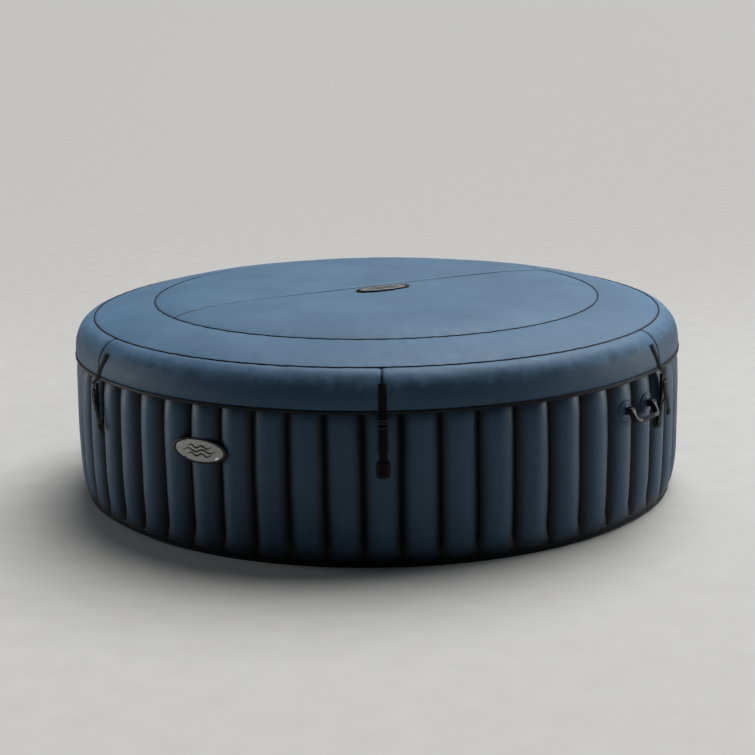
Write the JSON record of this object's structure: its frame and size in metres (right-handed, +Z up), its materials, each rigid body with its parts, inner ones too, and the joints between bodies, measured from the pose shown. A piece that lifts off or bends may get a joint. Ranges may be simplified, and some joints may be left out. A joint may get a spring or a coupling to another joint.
{
  "type": "inflatable hot tub",
  "caption": "Round inflatable hot tub with an upright fluted wall, two swing handles, rear ports, and a buckled-on insulated cover that lifts off.",
  "frame": {"origin": "centre of the tub's footprint, on the ground", "axes": "+Z up; -Y towards the front strap; +X to the right of someone facing the front"},
  "size_m": [2.2088, 2.2048, 0.7059],
  "materials": {
    "wall_vinyl": "satin",
    "cover_vinyl": "satin",
    "liner_vinyl": "satin",
    "cover_underside": "satin",
    "black_vinyl": "satin",
    "black_webbing": "matte",
    "black_plastic": "satin",
    "strainer_plastic": "satin",
    "gasket_rubber": "matte",
    "badge": "gloss"
  },
  "bodies": {
    "tub": {"tub_floor": "liner_vinyl", "bottom_band": "black_vinyl", "inner_wall": "liner_vinyl", "rim_deck": "liner_vinyl", "wall_webs": "liner_vinyl", "bubble_channel": "liner_vinyl", "air_riser": "liner_vinyl", "outer_wall_front": "wall_vinyl", "outer_wall_front_right": "wall_vinyl", "outer_wall_back_right": "wall_vinyl", "outer_wall_back": "wall_vinyl", "outer_wall_back_left": "wall_vinyl", "outer_wall_front_left": "wall_vinyl", "air_valve": "black_plastic", "drain_valve": "black_plastic", "port_fittings": "black_plastic", "port_gaskets": "gasket_rubber", "handle_anchors": "black_plastic", "handle_pins": "black_plastic", "wall_badge": "badge", "strap_patches": "black_vinyl", "lower_straps": "black_webbing", "buckle_bases": "black_plastic"},
    "cover": {"cover_top_front": "cover_vinyl", "cover_top_back": "cover_vinyl", "cover_ring": "cover_vinyl", "cover_skirt": "cover_vinyl", "hem_binding": "black_vinyl", "seam_piping": "black_vinyl", "cover_liner": "cover_underside", "cover_bladder": "cover_underside", "bladder_valve": "black_plastic", "cover_straps": "black_webbing", "buckle_sockets": "black_plastic", "cover_badge": "badge"},
    "prong_1_right": {"prong_1_right": "black_plastic"},
    "prong_1_left": {"prong_1_left": "black_plastic"},
    "prong_2_right": {"prong_2_right": "black_plastic"},
    "prong_2_left": {"prong_2_left": "black_plastic"},
    "prong_3_right": {"prong_3_right": "black_plastic"},
    "prong_3_left": {"prong_3_left": "black_plastic"},
    "prong_4_right": {"prong_4_right": "black_plastic"},
    "prong_4_left": {"prong_4_left": "black_plastic"},
    "prong_5_right": {"prong_5_right": "black_plastic"},
    "prong_5_left": {"prong_5_left": "black_plastic"},
    "prong_6_right": {"prong_6_right": "black_plastic"},
    "prong_6_left": {"prong_6_left": "black_plastic"},
    "right_handle": {"right_handle": "black_plastic"},
    "left_handle": {"left_handle": "black_plastic"},
    "air_valve_cap": {"air_valve_cap": "black_plastic"},
    "drain_cap": {"drain_cap": "black_plastic"},
    "bladder_valve_cap": {"bladder_valve_cap": "black_plastic"},
    "inlet_nut": {"inlet_nut": "black_plastic"},
    "outlet_nut": {"outlet_nut": "black_plastic"},
    "air_nut": {"air_nut": "black_plastic"},
    "inlet_strainer": {"inlet_strainer": "strainer_plastic"},
    "outlet_strainer": {"outlet_strainer": "strainer_plastic"}
  },
  "joints": [
    {"name": "cover_lift", "type": "slide", "parent": "tub", "child": "cover", "axis": [0, 0, 1], "range_m": [0, 0.4]},
    {"name": "prong_1_right_squeeze", "type": "hinge", "parent": "tub", "child": "prong_1_right", "pos_m": [0.02532, -1.09376, 0.4115], "axis": [0.0131, -0.9999, 0], "range_deg": [0, 5], "stiffness_Nm_per_rad": 0.05},
    {"name": "prong_1_left_squeeze", "type": "hinge", "parent": "tub", "child": "prong_1_left", "pos_m": [0.00332, -1.09405, 0.4115], "axis": [-0.0131, 0.9999, 0], "range_deg": [0, 5], "stiffness_Nm_per_rad": 0.05},
    {"name": "prong_2_right_squeeze", "type": "hinge", "parent": "tub", "child": "prong_2_right", "pos_m": [0.95988, -0.52495, 0.4115], "axis": [0.8725, -0.4886, 0], "range_deg": [0, 5], "stiffness_Nm_per_rad": 0.05},
    {"name": "prong_2_left_squeeze", "type": "hinge", "parent": "tub", "child": "prong_2_left", "pos_m": [0.94914, -0.54415, 0.4115], "axis": [-0.8725, 0.4886, 0], "range_deg": [0, 5], "stiffness_Nm_per_rad": 0.05},
    {"name": "prong_3_right_squeeze", "type": "hinge", "parent": "tub", "child": "prong_3_right", "pos_m": [0.93457, 0.56881, 0.4115], "axis": [0.8594, 0.5113, 0], "range_deg": [0, 5], "stiffness_Nm_per_rad": 0.05},
    {"name": "prong_3_left_squeeze", "type": "hinge", "parent": "tub", "child": "prong_3_left", "pos_m": [0.94581, 0.5499, 0.4115], "axis": [-0.8594, -0.5113, 0], "range_deg": [0, 5], "stiffness_Nm_per_rad": 0.05},
    {"name": "prong_4_right_squeeze", "type": "hinge", "parent": "tub", "child": "prong_4_right", "pos_m": [-0.02532, 1.09376, 0.4115], "axis": [-0.0131, 0.9999, 0], "range_deg": [0, 5], "stiffness_Nm_per_rad": 0.05},
    {"name": "prong_4_left_squeeze", "type": "hinge", "parent": "tub", "child": "prong_4_left", "pos_m": [-0.00332, 1.09405, 0.4115], "axis": [0.0131, -0.9999, 0], "range_deg": [0, 5], "stiffness_Nm_per_rad": 0.05},
    {"name": "prong_5_right_squeeze", "type": "hinge", "parent": "tub", "child": "prong_5_right", "pos_m": [-0.95988, 0.52495, 0.4115], "axis": [-0.8725, 0.4886, 0], "range_deg": [0, 5], "stiffness_Nm_per_rad": 0.05},
    {"name": "prong_5_left_squeeze", "type": "hinge", "parent": "tub", "child": "prong_5_left", "pos_m": [-0.94914, 0.54415, 0.4115], "axis": [0.8725, -0.4886, 0], "range_deg": [0, 5], "stiffness_Nm_per_rad": 0.05},
    {"name": "prong_6_right_squeeze", "type": "hinge", "parent": "tub", "child": "prong_6_right", "pos_m": [-0.93457, -0.56881, 0.4115], "axis": [-0.8594, -0.5113, 0], "range_deg": [0, 5], "stiffness_Nm_per_rad": 0.05},
    {"name": "prong_6_left_squeeze", "type": "hinge", "parent": "tub", "child": "prong_6_left", "pos_m": [-0.94581, -0.5499, 0.4115], "axis": [0.8594, 0.5113, 0], "range_deg": [0, 5], "stiffness_Nm_per_rad": 0.05},
    {"name": "right_handle_swing", "type": "hinge", "parent": "tub", "child": "right_handle", "pos_m": [0.86184, -0.68409, 0.408], "axis": [-0.6217, -0.7832, 0], "range_deg": [-24, 134]},
    {"name": "left_handle_swing", "type": "hinge", "parent": "tub", "child": "left_handle", "pos_m": [-1.0833, 0.19303, 0.408], "axis": [0.1754, 0.9845, 0], "range_deg": [-24, 134]},
    {"name": "air_valve_cap_hinge", "type": "hinge", "parent": "tub", "child": "air_valve_cap", "pos_m": [0.83342, 0.70528, 0.429], "axis": [0.646, -0.7634, 0], "range_deg": [0, 115]},
    {"name": "drain_cap_hinge", "type": "hinge", "parent": "tub", "child": "drain_cap", "pos_m": [-0.49535, 0.96659, 0.1225], "axis": [0.8899, 0.4561, 0], "range_deg": [0, 115]},
    {"name": "bladder_valve_cap_hinge", "type": "hinge", "parent": "cover", "child": "bladder_valve_cap", "pos_m": [0.2, -0.582, 0.6287], "axis": [-1, 0, 0], "range_deg": [0, 115]},
    {"name": "inlet_nut_turn", "type": "hinge", "parent": "tub", "child": "inlet_nut", "pos_m": [0.56361, 0.9412, 0.25], "axis": [0.5138, 0.8579, 0], "continuous": true},
    {"name": "outlet_nut_turn", "type": "hinge", "parent": "tub", "child": "outlet_nut", "pos_m": [0.34711, 1.04069, 0.25], "axis": [0.3164, 0.9486, 0], "continuous": true},
    {"name": "air_nut_turn", "type": "hinge", "parent": "tub", "child": "air_nut", "pos_m": [0.45807, 0.99657, 0.36], "axis": [0.4176, 0.9086, 0], "continuous": true},
    {"name": "inlet_strainer_turn", "type": "hinge", "parent": "tub", "child": "inlet_strainer", "pos_m": [0.41409, 0.6915, 0.25], "axis": [0.5138, 0.8579, 0], "continuous": true},
    {"name": "outlet_strainer_turn", "type": "hinge", "parent": "tub", "child": "outlet_strainer", "pos_m": [0.25502, 0.76459, 0.25], "axis": [0.3164, 0.9486, 0], "continuous": true}
  ],
  "couplings": [
    {"joint": "prong_1_left_squeeze", "follows": "prong_1_right_squeeze", "ratio": 1},
    {"joint": "prong_2_left_squeeze", "follows": "prong_2_right_squeeze", "ratio": 1},
    {"joint": "prong_3_left_squeeze", "follows": "prong_3_right_squeeze", "ratio": 1},
    {"joint": "prong_4_left_squeeze", "follows": "prong_4_right_squeeze", "ratio": 1},
    {"joint": "prong_5_left_squeeze", "follows": "prong_5_right_squeeze", "ratio": 1},
    {"joint": "prong_6_left_squeeze", "follows": "prong_6_right_squeeze", "ratio": 1}
  ]
}
